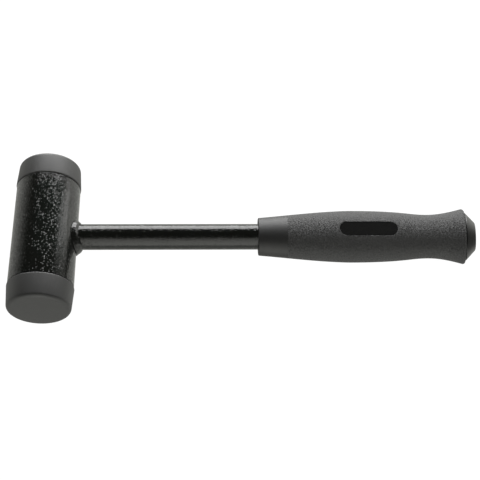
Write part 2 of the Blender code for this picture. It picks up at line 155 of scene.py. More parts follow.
class Shader(Nodes):
    """The nodes of one finish, all read from the piece's own coordinates."""

    def __init__(self, name: str) -> None:
        """Start a material with its surface shader.

        Args:
            name: The material's name.
        """
        self.material = bpy.data.materials.new(name)
        super().__init__(self.material)
        self.surface = self.tree.nodes["Principled BSDF"]
        self.coordinates = self.node("ShaderNodeTexCoord", {}).outputs["Object"]

    def lumps(self, size: float, detail: float = 1.0, place: Socket | None = None) -> Node:
        """Soft random lumps with finer layers on them, read at a place or at the piece's own."""
        inputs = {"Vector": place or self.coordinates, "Scale": 1 / size, "Detail": detail}
        return self.node("ShaderNodeTexNoise", inputs)

    def noise(self, size: float, detail: float = 1.0, place: Socket | None = None) -> Socket:
        """The height of soft random lumps, about 0 to 1."""
        return self.lumps(size, detail, place).outputs[0]

    def cells(self, size: float) -> Node:
        """Random cells of a size."""
        inputs = {"Vector": self.coordinates, "Scale": 1 / size}
        return self.node("ShaderNodeTexVoronoi", inputs)

    def domes(self, size: float, reach: float) -> Socket:
        """The height, 0 to 1, of round pebbles that reach a share of their spacing."""
        inputs = {0: self.cells(size).outputs["Distance"], 1: 0.0, 2: reach, 3: 1.0, 4: 0.0}
        return self.node("ShaderNodeMapRange", inputs, interpolation_type="SMOOTHSTEP").outputs[0]

    def mapped(self, centre: Vector, stretch: Triple = (1.0, 1.0, 1.0)) -> Socket:
        """Coordinates from a centre, stretched along each axis.

        Args:
            centre: The new zero.
            stretch: The factor along each axis.

        Returns:
            The coordinates.
        """
        shift = [-value * factor for value, factor in zip(centre, stretch)]
        inputs = {"Vector": self.coordinates, "Location": shift, "Scale": stretch}
        return self.node("ShaderNodeMapping", inputs).outputs["Vector"]

    def vary_colour(self, share: Socket, dark: Colour, light: Colour) -> None:
        """Run the base colour between two shades.

        Args:
            share: Where the colour stands between them, 0 to 1.
            dark: The colour at 0.
            light: The colour at 1.
        """
        ramp = self.node("ShaderNodeValToRGB", {0: share})
        for stop, colour in zip(ramp.color_ramp.elements, (dark, light)):
            stop.color = (*colour, 1.0)
        self.tree.links.new(ramp.outputs["Color"], self.surface.inputs["Base Color"])

    def vary_roughness(self, share: Socket, low: float, high: float) -> None:
        """Run the roughness between two values over the middle span of a noise."""
        value = self.span(share, NOISE_SPAN, (low, high))
        self.tree.links.new(value, self.surface.inputs["Roughness"])

    def tipped(self, lean: Socket, tilt: float) -> Socket:
        """The surface's own direction, tipped by a lean.

        Args:
            lean: The way to tip, about -1 to 1 along each axis.
            tilt: The tip at a lean of 1, in radians.

        Returns:
            The direction.
        """
        straight = self.node("ShaderNodeNewGeometry", {}).outputs["Normal"]
        leaning = self.vector("MULTIPLY_ADD", lean, (tilt,) * 3, straight)
        return self.vector("NORMALIZE", leaning)

    def facets(self, size: float, tilt: float) -> Socket:
        """A surface direction that tips from one small facet to the next, steeply on a few of them.

        Args:
            size: The facets' spacing.
            tilt: How far the steepest facets tip, in radians.

        Returns:
            The direction.
        """
        chance = self.cells(size).outputs["Color"]
        lean = self.vector("MULTIPLY_ADD", chance, (2.0,) * 3, (-1.0,) * 3)
        square = self.vector("MULTIPLY", lean, lean)
        fourth = self.vector("MULTIPLY", square, square)
        seventh = self.vector("MULTIPLY", self.vector("MULTIPLY", fourth, square), lean)
        return self.tipped(seventh, tilt)

    def uneven(self, size: float, tilt: float) -> Socket:
        """A surface direction that wanders over a soft fine grain.

        Args:
            size: The grain's spacing.
            tilt: How far the steeper slopes tip, in radians.

        Returns:
            The direction.
        """
        grain = self.lumps(size).outputs["Color"]
        lean = self.vector("MULTIPLY_ADD", grain, (4.0,) * 3, (-2.0,) * 3)
        return self.tipped(lean, tilt)

    def relief(self, layers: list[tuple[Socket, float]], normal: Socket | None = None) -> None:
        """Raise the surface by layers of lumps.

        Args:
            layers: Each layer's height, 0 to 1, and its real depth.
            normal: The direction to start from, or none for the surface's own.
        """
        for height, depth in layers:
            inputs = {"Strength": 1.0, "Distance": depth, "Height": height}
            if normal:
                inputs["Normal"] = normal
            normal = self.node("ShaderNodeBump", inputs).outputs["Normal"]
        self.tree.links.new(normal, self.surface.inputs["Normal"])

    def keep_even(self, values: dict[str, object]) -> None:
        """Set inputs of the surface, by name, that are the same all over."""
        for name, value in values.items():
            self.surface.inputs[name].default_value = value


@dataclass(frozen=True)
class Finish:
    """A finish: its slot, its two shades and its gloss."""

    slot: Slot
    dark: Colour
    light: Colour
    smooth: float
    rough: float
    specular: float = 0.5

    def dress(self, shader: Shader) -> None:
        """Add the finish's own texture. Each finish has its own."""
        raise NotImplementedError

    def material(self) -> bpy.types.Material:
        """Make the finish's material once, and find it after that.

        Returns:
            The material.
        """
        name = f"{self.slot.value}_finish"
        made = bpy.data.materials.get(name)
        if made:
            return made
        shader = Shader(name)
        shader.keep_even({"Specular IOR Level": self.specular})
        self.dress(shader)
        return shader.material


@dataclass(frozen=True)
class HammerPaint(Finish):
    """Gloss black paint with a pebbled skin that sparkles."""

    cloud: float = 0.012
    pebble: float = 0.0013
    pebble_reach: float = 0.45
    pebble_depth: float = 0.00003
    facet: float = 0.0005
    facet_tilt: float = 0.28

    def dress(self, shader: Shader) -> None:
        """Sparkling facets and low pebbles on the skin, and soft clouds in colour and gloss.

        Args:
            shader: The finish's nodes.
        """
        clouds = shader.noise(self.cloud, detail=3.0)
        shader.vary_colour(clouds, self.dark, self.light)
        shader.vary_roughness(clouds, self.smooth, self.rough)
        pebbles = shader.domes(self.pebble, self.pebble_reach)
        shader.relief([(pebbles, self.pebble_depth)], shader.facets(self.facet, self.facet_tilt))


@dataclass(frozen=True)
class FaceNylon(Finish):
    """Matt nylon, turned on its striking ends."""

    centre: Vector = field(default_factory=Vector)
    striking_plane: float = 0.0
    turning_start: float = 0.0006
    turning_full: float = 0.0001
    turning_pitch: float = 0.00055
    turning_depth: float = 0.000004
    grain: float = 0.0006
    grain_depth: float = 0.000012
    scuff: float = 0.009

    def dress(self, shader: Shader) -> None:
        """Turning rings on the ends, a fine moulded grain and soft scuffs.

        Args:
            shader: The finish's nodes.
        """
        place = shader.mapped(self.centre)
        flat = shader.vector("MULTIPLY", place, (1.0, 0.0, 1.0))
        length = shader.node("ShaderNodeVectorMath", {0: flat}, operation="LENGTH")
        turns = shader.math("MULTIPLY", length.outputs["Value"], FULL_TURN / self.turning_pitch)
        rings = shader.math("SINE", turns)
        _, aside, _ = shader.parts(place)
        last = (self.striking_plane - self.turning_start, self.striking_plane - self.turning_full)
        near_end = shader.span(shader.math("ABSOLUTE", aside), last, (0.0, 1.0))
        grain = shader.noise(self.grain, detail=2.0)
        scuffs = shader.noise(self.scuff, detail=4.0)
        shader.vary_colour(scuffs, self.dark, self.light)
        shader.vary_roughness(scuffs, self.smooth, self.rough)
        turning = shader.math("MULTIPLY", rings, near_end)
        shader.relief([(grain, self.grain_depth), (turning, self.turning_depth)])


@dataclass(frozen=True)
class HardPlastic(Finish):
    """The core's moulded plastic: satin at the collar, polished at the butt."""

    butt_x: float = 0.0
    polish: float = 0.014
    polish_blend: float = 0.8
    gloss_span: Pair = (0.7, 0.3)
    cloud: float = 0.006
    wander: float = 0.05
    grain: float = 0.0005
    grain_depth: float = 0.000006

    def dress(self, shader: Shader) -> None:
        """A very fine grain, faint flow clouds, and more gloss near the butt.

        Args:
            shader: The finish's nodes.
        """
        along, _, _ = shader.parts(shader.coordinates)
        edge = (self.butt_x - self.polish, self.butt_x - self.polish * self.polish_blend)
        gloss = shader.span(along, edge, self.gloss_span)
        clouds = shader.noise(self.cloud, detail=3.0)
        wander = shader.span(clouds, NOISE_SPAN, (-self.wander, self.wander))
        shader.vary_colour(clouds, self.dark, self.light)
        shader.vary_roughness(shader.math("ADD", gloss, wander), self.smooth, self.rough)
        shader.relief([(shader.noise(self.grain), self.grain_depth)])


@dataclass(frozen=True)
class GrainedRubber(Finish):
    """The soft cover, with the grain of a spark-eroded mould."""

    grain: float = 0.0009
    grain_tilt: float = 0.33
    grain_depth: float = 0.00016
    fine: float = 0.0004
    fine_depth: float = 0.00004
    cloud: float = 0.015
    cloud_share: float = 0.25
    crest_span: Pair = (0.35, 0.65)

    def dress(self, shader: Shader) -> None:
        """Two sizes of grain, with lighter crests, over soft clouds of handling.

        Args:
            shader: The finish's nodes.
        """
        grain = shader.noise(self.grain, detail=2.0)
        fine = shader.noise(self.fine)
        clouds = shader.math("MULTIPLY", shader.noise(self.cloud, detail=3.0), self.cloud_share)
        crests = shader.math("MULTIPLY", grain, 1 - self.cloud_share)
        mixed = shader.math("ADD", crests, clouds)
        shader.vary_colour(shader.span(mixed, self.crest_span, (0.0, 1.0)), self.dark, self.light)
        shader.vary_roughness(fine, self.smooth, self.rough)
        skin = shader.uneven(self.grain, self.grain_tilt)
        shader.relief([(grain, self.grain_depth), (fine, self.fine_depth)], skin)


@dataclass(frozen=True)
class GlossInlay(Finish):
    """The plaque's near-black gloss plastic, with hairline scratches."""

    hairline: float = 0.0004
    stretch: Triple = (0.06, 1.0, 1.0)
    cloud: float = 0.004
    cloud_depth: float = 0.000004

    def dress(self, shader: Shader) -> None:
        """Hairlines along the plaque in its gloss, and a soft unevenness.

        Args:
            shader: The finish's nodes.
        """
        hairs = shader.noise(self.hairline, detail=2.0, place=shader.mapped(Vector(), self.stretch))
        clouds = shader.noise(self.cloud)
        shader.vary_colour(clouds, self.dark, self.light)
        shader.vary_roughness(hairs, self.smooth, self.rough)
        shader.relief([(clouds, self.cloud_depth)])


@dataclass(frozen=True)
class BareSteel(Finish):
    """Bare steel with tool marks and an oily bloom."""

    mark: float = 0.0007
    mark_depth: float = 0.000006
    bloom: float = 0.003

    def dress(self, shader: Shader) -> None:
        """Blotches in the colour and fine marks in the gloss.

        Args:
            shader: The finish's nodes.
        """
        marks = shader.noise(self.mark, detail=3.0)
        bloom = shader.noise(self.bloom, detail=2.0)
        shader.keep_even({"Metallic": 1.0})
        shader.vary_colour(bloom, self.dark, self.light)
        shader.vary_roughness(marks, self.smooth, self.rough)
        shader.relief([(marks, self.mark_depth)])


@dataclass(frozen=True)
class Corner:
    """A corner of an outline, with the radius of its rounding."""

    radius: float
    station: float
    rounding: float = 0.0


def rounded(corners: list[Corner]) -> Profile:
    """Round the corners of an outline.

    Args:
        corners: The outline's corners in order, taken as a ring.

    Returns:
        The outline's points, with an arc at each rounded corner.
    """
    points: Profile = []
    for number, corner in enumerate(corners):
        here = Vector((corner.radius, corner.station))
        if corner.rounding == 0.0:
            points.append(tuple(here))
            continue
        last, following = corners[number - 1], corners[(number + 1) % len(corners)]
        back = (Vector((last.radius, last.station)) - here).normalized()
        ahead = (Vector((following.radius, following.station)) - here).normalized()
        half = math.acos(back.dot(ahead)) / 2
        centre = here + (back + ahead).normalized() * corner.rounding / math.sin(half)
        start = here + back * corner.rounding / math.tan(half) - centre
        end = here + ahead * corner.rounding / math.tan(half) - centre
        sweep = math.pi - 2 * half
        for step in range(ARC_STEPS + 1):
            share = step / ARC_STEPS
            spoke = start * math.sin((1 - share) * sweep) + end * math.sin(share * sweep)
            points.append(tuple(centre + spoke / math.sin(sweep)))
    return points


def quarter_round(half: float, inward: float, station: float, onward: float) -> Profile:
    """Round the end of an outline by a quarter turn.

    Args:
        half: The half-thickness where the rounding starts.
        inward: How far it draws in.
        station: The station where it starts.
        onward: How far it goes along.

    Returns:
        The rounding's points, without its start.
    """
    points: Profile = []
    for step in range(1, ARC_STEPS + 1):
        angle = math.pi / 2 * step / ARC_STEPS
        points.append((half - inward * (1 - math.cos(angle)), station + onward * math.sin(angle)))
    return points


def eased(share: float) -> float:
    """A share from 0 to 1, with a soft start and end."""
    return share * share * (3 - 2 * share)


def spin(shape: Shape, parts: list, angle: float, steps: int, merge: bool = False) -> None:
    """Spin points and edges round the local Z axis.

    Args:
        shape: The shape that holds them.
        parts: The points and edges.
        angle: How far to spin.
        steps: Facets on the way.
        merge: Whether the end joins the start.
    """
    bmesh.ops.spin(
        shape,
        geom=parts,
        axis=(0.0, 0.0, 1.0),
        cent=(0.0, 0.0, 0.0),
        dvec=(0.0, 0.0, 0.0),
        angle=angle,
        steps=steps,
        use_merge=merge,
    )


def turned(outline: Profile, steps: int, closed: bool = False) -> Shape:
    """Spin an outline once round the local Z axis.

    Args:
        outline: Points of (radius, station).
        steps: Facets round the turn.
        closed: Whether the last point joins the first, as in the section of a wall.

    Returns:
        The turned shape, with its faces outwards.
    """
    shape = bmesh.new()
    points = [shape.verts.new((radius, 0.0, station)) for radius, station in outline]
    edges = [shape.edges.new(pair) for pair in zip(points, points[1:])]
    if closed:
        edges.append(shape.edges.new((points[-1], points[0])))
    spin(shape, points + edges, FULL_TURN, steps, merge=True)
    bmesh.ops.remove_doubles(shape, verts=shape.verts, dist=MERGE_DISTANCE)
    bmesh.ops.recalc_face_normals(shape, faces=shape.faces)
    return shape


def break_edges(shape: Shape, edges: list, width: float, **options: object) -> None:
    """Round some edges of a shape.

    Args:
        shape: The shape.
        edges: The edges to round.
        width: How far the rounding reaches on each side.
        options: The bevel's other options.
    """
    bmesh.ops.bevel(
        shape, geom=edges, offset=width, profile=0.5, affect="EDGES", material=-1, **options
    )


def linked(name: str, data: bpy.types.ID) -> bpy.types.Object:
    """Make an object and add it to the scene.

    Args:
        name: The object's name.
        data: Its mesh, light or camera.

    Returns:
        The object.
    """
    made = bpy.data.objects.new(name, data)
    bpy.context.scene.collection.objects.link(made)
    return made


def settle(shape: Shape, name: str, placing: Matrix) -> bpy.types.Object:
    """Put a shape in its place and make it an object at the origin.

    Args:
        shape: The shape, which is used up.
        name: The object's name.
        placing: Where the shape goes in the frame.

    Returns:
        The object.
    """
    bmesh.ops.transform(shape, matrix=placing, verts=shape.verts)
    mesh = bpy.data.meshes.new(name)
    shape.to_mesh(mesh)
    shape.free()
    return linked(name, mesh)


def install(piece: bpy.types.Object, node: str, finish: Finish, body: Body = Body.HAMMER) -> None:
    """Dress a piece, set it on its body and let it stand for its CAD node.

    Args:
        piece: The finished object.
        node: The CAD node that it replaces.
        finish: What it is dressed in.
        body: The body that it rides on.
    """
    piece.data.shade_smooth()
    piece.data.set_sharp_from_angle(angle=SHARP_ANGLE)
    piece.data.materials.clear()
    piece.data.materials.append(finish.material())
    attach(piece, body.value)
    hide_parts(node)
    log.info("%s stands for %s: %d faces", piece.name, node, len(piece.data.polygons))


@dataclass(frozen=True)
class Placing:
    """Where the head and the handle lie, read from the frame."""

    head: Vector
    along_handle: Vector

    @classmethod
    def from_frame(cls) -> "Placing":
        """Take the head's middle from its tube's box, and the handle's line from there to the butt.

        Returns:
            The placing.
        """
        low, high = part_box("head_tube")
        head = (low + high) / 2
        butt = next(mount for mount in frame["record"]["mounts"] if mount["name"] == "butt_face")
        return cls(head, (Vector(butt["pos_m"]) - head).normalized())

    def on_head(self, end: End) -> Matrix:
        """Local Z out of one end of the head."""
        return Matrix.Translation(self.head) @ Matrix.Rotation(end.value, 4, "X")

    def on_handle(self, turn: float = 0.0) -> Matrix:
        """Local Z along the handle, local X down and local Y along the head, turned about Z.

        Args:
            turn: The angle that takes the top towards the front.

        Returns:
            The placing.
        """
        aside = Vector((0.0, 1.0, 0.0))
        down = aside.cross(self.along_handle)
        axes = Matrix((down, aside, self.along_handle)).transposed()
        return Matrix.Translation(self.head) @ axes.to_4x4() @ Matrix.Rotation(turn, 4, "Z")

    def on_grip(self, turn: float) -> Matrix:
        """Local X along the handle and local Z up from it, turned about it towards the front.

        Args:
            turn: The angle.

        Returns:
            The placing.
        """
        aside = Vector((0.0, 1.0, 0.0))
        up = self.along_handle.cross(aside)
        axes = Matrix((self.along_handle, aside, up)).transposed()
        return Matrix.Translation(self.head) @ axes.to_4x4() @ Matrix.Rotation(turn, 4, "X")


@dataclass
class Head:
    """The head tube with its faces, chamber discs and spring pins."""

    placing: Placing
    paint: Finish
    nylon: Finish
    steel: Finish
    tube_radius: float = HEAD_RADIUS
    chamber_radius: float = 0.0215
    mouth: float = 0.0430
    mouth_rounding: float = 0.0006
    face_radius: float = 0.0250
    face_draft: float = math.radians(4.0)
    face_rounding: float = 0.0034
    lip_rounding: float = 0.0009
    striking_plane: float = 0.0625
    spigot_end: float = 0.0310
    spigot_rounding: float = 0.0010
    disc_inside: float = 0.0247
    disc_thickness: float = 0.0060
    disc_rounding: float = 0.0006
    socket_floor: float = 0.0262
    pin_radius: float = 0.0040
    pin_wall: float = 0.0010
    pin_slot: float = 0.0012
    pin_length: float = 0.0160
    fit: float = FIT_GAP
    small_edge: float = 0.0002
    steps: int = 256

    def tube(self) -> Shape:
        """Turn the tube's wall, rounded at both mouths.

        Returns:
            The shape, with local Z out of the head's end.
        """
        corners = [
            Corner(self.chamber_radius, self.mouth, self.small_edge),
            Corner(self.tube_radius, self.mouth, self.mouth_rounding),
            Corner(self.tube_radius, -self.mouth, self.mouth_rounding),
            Corner(self.chamber_radius, -self.mouth, self.small_edge),
        ]
        return turned(rounded(corners), self.steps, closed=True)

    def face(self) -> Shape:
        """Turn a nylon face: flat end, rounded edge, drafted side, lip, spigot and pin bore.

        Returns:
            The shape, with local Z out of the head's end.
        """
        seat = self.mouth + self.fit
        spigot = self.chamber_radius - self.fit
        bore = self.pin_radius + self.fit
        bore_floor = self.socket_floor + self.pin_length + 2 * self.fit
        end_radius = self.face_radius - (self.striking_plane - seat) * math.tan(self.face_draft)
        corners = [
            Corner(0.0, self.striking_plane),
            Corner(end_radius, self.striking_plane, self.face_rounding),
            Corner(self.face_radius, seat, self.lip_rounding),
            Corner(spigot, seat, self.small_edge),
            Corner(spigot, self.spigot_end, self.spigot_rounding),
            Corner(bore, self.spigot_end, self.small_edge),
            Corner(bore, bore_floor),
            Corner(0.0, bore_floor),
        ]
        return turned(rounded(corners), self.steps)

    def disc(self) -> Shape:
        """Turn a chamber disc with rounded edges and a blind socket.

        Returns:
            The shape, with local Z out of the head's end.
        """
        radius = self.chamber_radius - self.fit
        bore = self.pin_radius + self.fit
        outside = self.disc_inside + self.disc_thickness
        corners = [
            Corner(0.0, self.socket_floor),
            Corner(bore, self.socket_floor),
            Corner(bore, outside, self.small_edge),
            Corner(radius, outside, self.disc_rounding),
            Corner(radius, self.disc_inside, self.disc_rounding),
            Corner(0.0, self.disc_inside),
        ]
        return turned(rounded(corners), self.steps // 2)

    def pin(self) -> Shape:
        """Make a slotted spring pin: a band with a gap, thickened inwards, with its edges broken.

        Returns:
            The shape, with local Z out of the head's end.
        """
        half_slot = math.asin(self.pin_slot / 2 / self.pin_radius)
        start = self.socket_floor + self.fit
        band = bmesh.new()
        foot = band.verts.new((self.pin_radius * math.cos(half_slot), self.pin_slot / 2, start))
        top = band.verts.new((*foot.co.xy, start + self.pin_length))
        side = band.edges.new((foot, top))
        spin(band, [foot, top, side], FULL_TURN - 2 * half_slot, self.steps // 4)
        bmesh.ops.recalc_face_normals(band, faces=band.faces)
        sample = band.faces[:][0]
        if sample.normal.dot(Vector((*sample.calc_center_median().xy, 0.0))) < 0:
            bmesh.ops.reverse_faces(band, faces=band.faces)
        bmesh.ops.solidify(band, geom=band.faces[:], thickness=self.pin_wall)
        bmesh.ops.recalc_face_normals(band, faces=band.faces)
        rims = [edge for edge in band.edges if edge.calc_face_angle(0.0) > SHARP_ANGLE]
        break_edges(band, rims, self.small_edge, segments=2, clamp_overlap=True)
        return band

    def build(self) -> None:
        """Make the tube, and the face, disc and pin at each end."""
        tube = settle(self.tube(), "painted_head_tube", self.placing.on_head(End.REAR))
        install(tube, "head_tube", self.paint)
        for end in End:
            word = end.word()
            for shape, name, node, finish in (
                (self.face(), "nylon_face", "face", self.nylon),
                (self.disc(), "steel_disc", "chamber_disc", self.steel),
                (self.pin(), "spring_pin", "face_pin", self.steel),
            ):
                piece = settle(shape, f"{word}_{name}", self.placing.on_head(end))
                install(piece, f"{word}_{node}", finish)


@dataclass
class Shot:
    """The loose steel balls in the chamber."""

    steel: Finish
    radius: float = 0.0050
    subdivisions: int = 4

    def build(self) -> None:
        """Put a round ball where the frame has each of its balls."""
        for node in sorted(name for name in frame["nodes"] if name.startswith("shot_ball_")):
            low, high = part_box(node)
            ball = bmesh.new()
            bmesh.ops.create_icosphere(ball, subdivisions=self.subdivisions, radius=self.radius)
            place = Matrix.Translation((low + high) / 2)
            piece = settle(ball, node.replace("shot", "steel"), place)
            install(piece, node, self.steel, Body.SHOT)


@dataclass
class Handle:
    """The handle tube and the weld that joins it to the head."""

    placing: Placing
    paint: Finish
    head_radius: float = HEAD_RADIUS
    radius: float = 0.00985
    wall: float = 0.0015
    end: float = 0.3012
    fit: float = FIT_GAP
    leg_on_head: float = 0.0038
    leg_on_handle: float = 0.0036
    front_extra: float = 0.0008
    flank_short: float = 0.0014
    bulge: int = 8
    bulge_reach: float = 0.85
    bulge_gain: float = 1.3
    toe: float = 0.0003
    swell_gain: float = 4.0
    swell_end: float = 1.02
    ripple: float = 0.0024
    ripple_height: float = 0.00004
    ripple_lag: float = 2.0
    ripple_wander: float = 2.0
    lump: float = 0.0042
    lump_height: float = 0.00012
    lump_stretch: float = 0.6
    weld_steps: int = 360
    slope_steps: int = 24
    steps: int = 128

    def seat_drop(self, across: float) -> float:
        """How far the head's curve falls away at this distance from its crest."""
        base = self.head_radius + self.fit
        return base - math.sqrt(base**2 - across**2)

    def tube(self) -> Shape:
        """Turn the handle tube and let its front edge follow the head's curve.

        Returns:
            The shape, with local Z along the handle.
        """
        bore = self.radius - self.wall
        front = self.head_radius + self.fit
        outline = [(bore, self.end), (self.radius, self.end), (self.radius, front), (bore, front)]
        shape = turned(outline, self.steps, closed=True)
        for point in shape.verts:
            if point.co.z < self.end / 2:
                point.co.z -= self.seat_drop(point.co.x)
        return shape

    def weld(self) -> Shape:
        """Turn a collar and lay it as a weld that bulges on the flanks and flares onto the head.

        Returns:
            The shape, with local Z along the handle.
        """
        inside = self.radius + self.fit
        base = self.head_radius + self.fit
        fall = self.leg_on_handle - self.toe
        outline: Profile = []
        for step in range(self.slope_steps + 1):
            share = step / self.slope_steps
            station = base + self.leg_on_handle - fall * share
            outline.append((inside + self.leg_on_head * share, station))
        outline += [(inside + self.leg_on_head, base), (inside, base)]
        shape = turned(outline, self.weld_steps, closed=True)
        for point in shape.verts:
            self.lay(point, inside, base)
        return shape

    def lay(self, point: bmesh.types.BMVert, inside: float, base: float) -> None:
        """Move a point of the collar to its place on the laid bead.

        Args:
            point: The point.
            inside: The collar's bore radius.
            base: The station of the collar's foot.
        """
        reach = point.co.xy.length
        share_out = (reach - inside) / self.leg_on_head
        share_up = (point.co.z - base) / self.leg_on_handle
        around = math.atan2(point.co.y, point.co.x)
        front = -self.front_extra * math.sin(around)
        flank = math.cos(around) ** 2
        on_head = 1 + (front - self.flank_short * flank) / self.leg_on_head
        on_handle = 1 + front / self.leg_on_handle
        # On the flanks the slope fills out to a bead with a steep end
        step = 1 - (1 - share_out) ** self.bulge
        bead = self.bulge_reach * step + (1 - self.bulge_reach) * share_out**self.bulge
        filled = share_out + (bead - share_out) * min(1.0, self.bulge_gain * flank)
        on_skin = max(0.0, 1 - abs(share_out + share_up - 1))
        swell = on_skin * min(1.0, self.swell_gain * share_out * (self.swell_end - share_out))
        # Ripples bow along the bead and lumps lie over them, on the skin alone
        arc = around * inside
        lag = self.ripple_lag * self.ripple * share_out * (1 - share_out)
        wander = self.ripple_wander * noise.noise(Vector((arc, 0.0, 0.0)) / self.lump)
        wave = math.sin(FULL_TURN * (arc + lag) / self.ripple + wander)
        spot = Vector((math.cos(around), math.sin(around), share_out * self.lump_stretch))
        lumps = noise.noise(spot * inside / self.lump)
        raised = swell * (self.ripple_height * wave + self.lump_height * lumps)
        length = inside + filled * self.leg_on_head * on_head + raised
        point.co.xy *= length / reach
        point.co.z = base + (point.co.z - base) * on_handle + raised - self.seat_drop(point.co.x)

    def build(self) -> None:
        """Make the tube and its weld."""
        placing = self.placing.on_handle()
        install(settle(self.tube(), "painted_handle_tube", placing), "handle_tube", self.paint)
        install(settle(self.weld(), "painted_weld_bead", placing), "handle_weld", self.paint)


@dataclass
class Grip:
    """The grip: hard core with collar and butt, soft cover with a pocket, and the plaque in it."""

    placing: Placing
    plastic: Finish
    rubber: Finish
    gloss: Finish
    fit: float = FIT_GAP
    flush_gap: float = 0.00004
    front: float = 0.1621
    collar_end: float = 0.1843
    belly: float = 0.2323
    shoulder: float = 0.2790
    waist: float = 0.2924
    rim: float = 0.3192
    cover_end: float = 0.3209
    butt: float = 0.32919
    tube_end: float = 0.3015
    bore: float = 0.01015
    sleeve_half: float = 0.0112
    collar_half: float = 0.01155
    belly_half: float = 0.0149
    shoulder_half: float = 0.01324
    waist_half: float = 0.0126
    rim_half: float = 0.01589
    butt_half: float = 0.0081
    oval: float = 1.40
    collar_oval: float = 1.30
    turn: float = math.radians(4.3)
    collar_flare: float = math.radians(3.2)
    shoulder_fall: float = math.radians(5.0)
    rim_flare: float = math.radians(11.4)
    collar_rounding: float = 0.0008
    rim_rounding: float = 0.0010
    cone_step: float = 0.0015
    cone_rounding: float = 0.0006
    butt_rounding: float = 0.0007
    butt_lean: float = 0.12
    lean_side: float = math.radians(26.2)
    lean_start: float = 0.004
    plaque_middle: float = 0.2454
    plaque_length: float = 0.0441
    plaque_width: float = 0.0116
    plaque_recess: float = 0.0003
    pocket_depth: float = 0.0024
    pocket_edge: float = 0.0003
    oval_steps: int = 96
    side_cuts: int = 40
    stretch_steps: int = 28
    steps: int = 288

    def stations(self) -> list[Triple]:
        """List the marks that the grip's outline runs through, from its front to its rim.

        Returns:
            Each mark's station, half-thickness and slope.
        """
        return [
            (self.front, self.collar_half, math.tan(self.collar_flare)),
            (self.belly, self.belly_half, 0.0),
            (self.shoulder, self.shoulder_half, -math.tan(self.shoulder_fall)),
            (self.waist, self.waist_half, 0.0),
            (self.rim, self.rim_half, math.tan(self.rim_flare)),
        ]

    def half_at(self, station: float) -> float:
        """Half the grip's thickness, along a smooth outline.

        Args:
            station: Where along the handle.

        Returns:
            The half-thickness there.
        """
        marks = self.stations()
        for (start, start_half, start_slope), (end, end_half, end_slope) in zip(marks, marks[1:]):
            if station <= end:
                break
        span = end - start
        share = min(1.0, (station - start) / span)
        rise = eased(share)
        leave = share * (1 - share) ** 2
        arrive = share * share * (share - 1)
        swing = span * (start_slope * leave + end_slope * arrive)
        return start_half + (end_half - start_half) * rise + swing

    def oval_at(self, station: float) -> float:
        """Width over thickness, which grows from the collar's front to the belly."""
        share = min(1.0, (station - self.front) / (self.belly - self.front))
        return self.collar_oval + (self.oval - self.collar_oval) * share

    def widened(self, outline: Profile, closed: bool = False) -> Shape:
        """Spin an outline into the grip's oval section, apart from the round bore for the tube.

        Args:
            outline: Points of (half-thickness, station).
            closed: Whether the last point joins the first.

        Returns:
            The oval shape.
        """
        shape = turned(outline, self.steps, closed)
        for point in shape.verts:
            if abs(point.co.xy.length - self.bore) > MERGE_DISTANCE:
                point.co.y *= self.oval_at(point.co.z)
                point.co.z -= self.set_back(point.co)
        return shape

    def set_back(self, place: Vector) -> float:
        """How far a point of the flare stands back, where the butt's upper front side leans.

        Args:
            place: The point, with the handle along Z.

        Returns:
            The distance along the handle.
        """
        share = min(1.0, max(0.0, (place.z - self.waist) / (self.rim - self.waist)))
        near = -place.x * math.cos(self.lean_side) - place.y * math.sin(self.lean_side)
        depth = (near + math.hypot(near, self.lean_start)) / 2
        return self.butt_lean * eased(share) * depth

    def outline(self, far: float, near: float) -> Profile:
        """The outline from a far station back to a near one.

        Args:
            far: The station to start at.
            near: The station to end at.

        Returns:
            Its points.
        """
        marks = [near, *(mark for mark, _, _ in self.stations() if near < mark < far), far]
        stations = [far]
        steps = range(1, self.stretch_steps + 1)
        for start, end in reversed(list(zip(marks, marks[1:]))):
            stations += [end - (end - start) * step / self.stretch_steps for step in steps]
        return [(self.half_at(station), station) for station in stations]

    def core(self) -> Shape:
        """Turn the core: butt cone, sleeve, smooth collar and blind bore.

        Returns:
            The shape, with local Z along the handle.
        """
        edge = self.collar_rounding
        cone = self.cover_end + self.fit
        back = [
            Corner(0.0, self.butt),
            Corner(self.butt_half, self.butt, self.butt_rounding),
            Corner(self.rim_half - self.cone_step, cone, self.cone_rounding),
            Corner(self.sleeve_half, cone),
        ]
        collar = self.outline(self.collar_end, self.front + edge)
        lip = quarter_round(collar[-1][0], edge, self.front + edge, -edge)
        sleeve_end = (self.sleeve_half, self.collar_end)
        inside = [(self.bore, self.front), (self.bore, self.tube_end), (0.0, self.tube_end)]
        return self.widened([*rounded(back), sleeve_end, *collar, *lip, *inside])

    def cover(self) -> Shape:
        """Turn the cover: rounded rim, waist and belly outside, straight bore inside.

        Returns:
            The shape, with local Z along the handle.
        """
        bore = self.sleeve_half + self.fit
        near = self.collar_end + self.flush_gap
        rim = quarter_round(self.rim_half, self.rim_rounding, self.rim, self.cover_end - self.rim)
        outside = [*reversed(rim), *self.outline(self.rim, near)]
        return self.widened([(bore, self.cover_end), *outside, (bore, near)], closed=True)

